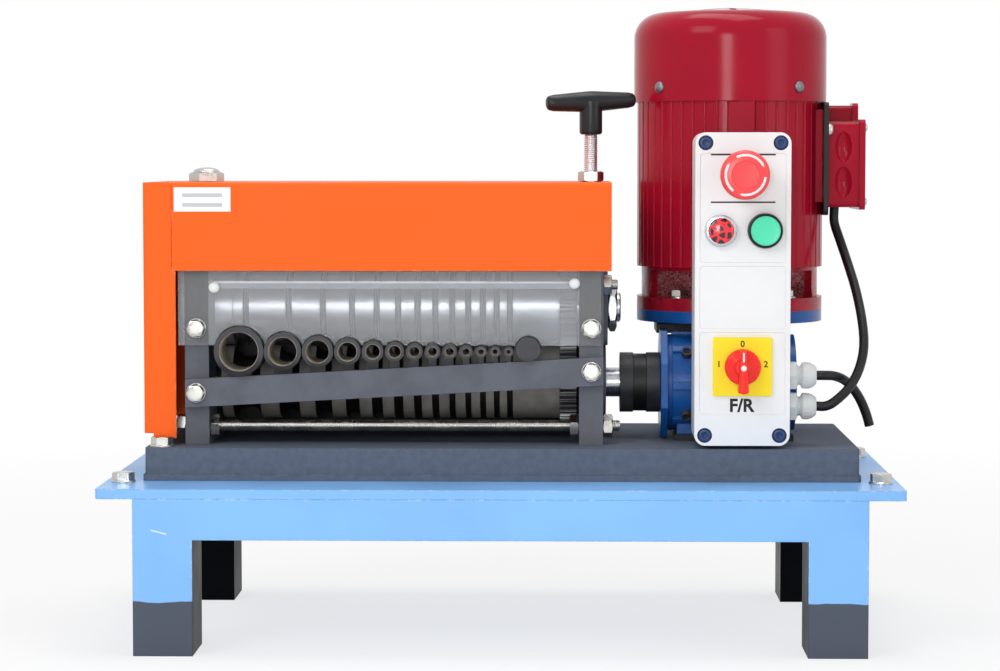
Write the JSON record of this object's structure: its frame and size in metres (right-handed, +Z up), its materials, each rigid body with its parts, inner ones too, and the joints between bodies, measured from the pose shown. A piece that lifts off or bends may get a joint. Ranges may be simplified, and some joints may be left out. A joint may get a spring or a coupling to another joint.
{
  "type": "wire cutting stripping machine",
  "caption": "Motor-driven cable stripper on a low steel stand, with graded guide tubes, a cutter shaft over a feed roller, a worm gear motor and a control box.",
  "frame": {"origin": "bottom centre of the stand, on the surface that it stands on", "axes": "+X to the operator's right along the rollers, +Y away from the operator, +Z up"},
  "size_m": [0.65, 0.35, 0.53],
  "materials": {
    "stand_paint": "light blue gloss enamel",
    "hammered_grey": "dark grey hammered enamel",
    "plate_paint": "dark grey textured paint",
    "zinc_fastener": "bright zinc",
    "bearing_steel": "ground steel",
    "blackened_steel": "blackened steel",
    "clear_acrylic": "clear acrylic, slightly hazy",
    "orange_paint": "orange powder coat",
    "gearbox_paint": "blue enamel on casting",
    "dark_cast": "dark casting",
    "motor_paint": "crimson gloss enamel",
    "black_rubber": "black rubber",
    "white_plastic": "white moulded plastic",
    "navy_cap": "dark blue cap",
    "black_plastic": "black moulded plastic",
    "red_lens": "red faceted lens",
    "yellow_plastic": "yellow plate",
    "pale_nylon": "pale grey nylon",
    "tool_steel": "hardened tool steel",
    "polished_steel": "polished steel",
    "red_plastic": "red moulded plastic",
    "green_plastic": "green moulded plastic"
  },
  "bodies": {
    "frame": {"stand_top": "stand_paint", "stand_frame": "stand_paint", "machine_base": "hammered_grey", "hex_bolts_m10": "zinc_fastener", "left_side_plate": "plate_paint", "right_side_plate": "plate_paint", "side_plate_caps": "plate_paint", "shaft_bearings": "bearing_steel", "bearing_caps": "plate_paint", "guide_bar": "plate_paint", "guide_tubes": "blackened_steel", "tie_rod": "zinc_fastener", "hex_nuts": "zinc_fastener", "guard_window": "clear_acrylic", "guard_cross_bar": "bearing_steel", "hex_bolts_m8": "zinc_fastener", "top_cover": "orange_paint", "left_end_cover": "orange_paint", "gearbox_housing": "gearbox_paint", "gearbox_output_cover": "gearbox_paint", "gearbox_foot": "dark_cast", "motor_end_bell": "motor_paint", "motor_body": "motor_paint", "stator_core": "bearing_steel", "fan_cover": "motor_paint", "terminal_gasket": "black_rubber", "terminal_box": "motor_paint", "terminal_lid": "motor_paint", "control_bracket": "hammered_grey", "control_box": "white_plastic", "control_lid": "white_plastic", "lid_screws": "navy_cap", "panel_bezels": "black_plastic", "lamp_lens": "red_lens", "switch_plate": "yellow_plastic", "contact_blocks": "black_plastic", "cable_glands": "pale_nylon", "motor_cable": "black_rubber", "supply_cable": "black_rubber"},
    "drive": {"lower_shaft": "bearing_steel", "lower_feed_roller": "tool_steel", "lower_gear": "tool_steel", "coupling_hubs": "blackened_steel", "coupling_spider": "black_rubber"},
    "carriage": {"bearing_blocks": "plate_paint", "upper_bearings": "bearing_steel"},
    "cutter_shaft": {"upper_shaft": "bearing_steel", "blade_discs": "tool_steel", "blade_spacers": "polished_steel", "upper_gear": "tool_steel"},
    "depth_handle": {"depth_handle": "black_plastic", "depth_screw": "bearing_steel"},
    "left_screw": {"left_screw": "zinc_fastener"},
    "motor_rotor": {"motor_rotor": "bearing_steel", "cooling_fan": "black_plastic"},
    "estop_plunger": {"estop_plunger": "bearing_steel"},
    "estop_head": {"estop_head": "red_plastic"},
    "start_button": {"start_button": "green_plastic"},
    "switch_knob": {"switch_knob": "red_plastic"}
  },
  "joints": [
    {"name": "rotor_spin", "type": "hinge", "parent": "frame", "child": "motor_rotor", "pos_m": [0.195, 0.04, 0.4], "axis": [0, 0, 1], "continuous": true},
    {"name": "drive_spin", "type": "hinge", "parent": "frame", "child": "drive", "pos_m": [0, -0.01, 0.209], "axis": [1, 0, 0], "continuous": true},
    {"name": "depth_slide", "type": "slide", "parent": "frame", "child": "carriage", "axis": [0, 0, 1], "range_m": [0, 0.003]},
    {"name": "cutter_spin", "type": "hinge", "parent": "carriage", "child": "cutter_shaft", "pos_m": [0, -0.01, 0.273], "axis": [1, 0, 0], "continuous": true},
    {"name": "handle_turn", "type": "hinge", "parent": "carriage", "child": "depth_handle", "pos_m": [0.074, -0.01, 0.42], "axis": [0, 0, 1], "range_deg": [0, 618]},
    {"name": "left_screw_turn", "type": "hinge", "parent": "carriage", "child": "left_screw", "pos_m": [-0.254, -0.01, 0.38], "axis": [0, 0, 1], "range_deg": [0, 618]},
    {"name": "estop_press", "type": "slide", "parent": "frame", "child": "estop_plunger", "axis": [0, 1, 0], "range_m": [0, 0.004]},
    {"name": "estop_twist", "type": "hinge", "parent": "estop_plunger", "child": "estop_head", "pos_m": [0.197, -0.135, 0.3865], "axis": [0, 1, 0], "range_deg": [0, 40], "stiffness_Nm_per_rad": 0.05},
    {"name": "start_press", "type": "slide", "parent": "frame", "child": "start_button", "axis": [0, 1, 0], "range_m": [0, 0.003], "stiffness_N_per_m": 400},
    {"name": "switch_turn", "type": "hinge", "parent": "frame", "child": "switch_knob", "pos_m": [0.197, -0.118, 0.23], "axis": [0, 1, 0], "range_deg": [-90, 90]}
  ],
  "couplings": [
    {"joint": "drive_spin", "follows": "rotor_spin", "ratio": 0.05},
    {"joint": "cutter_spin", "follows": "rotor_spin", "ratio": -0.05},
    {"joint": "handle_turn", "follows": "depth_slide", "rad_per_m": 3590.4},
    {"joint": "left_screw_turn", "follows": "depth_slide", "rad_per_m": 3590.4}
  ]
}
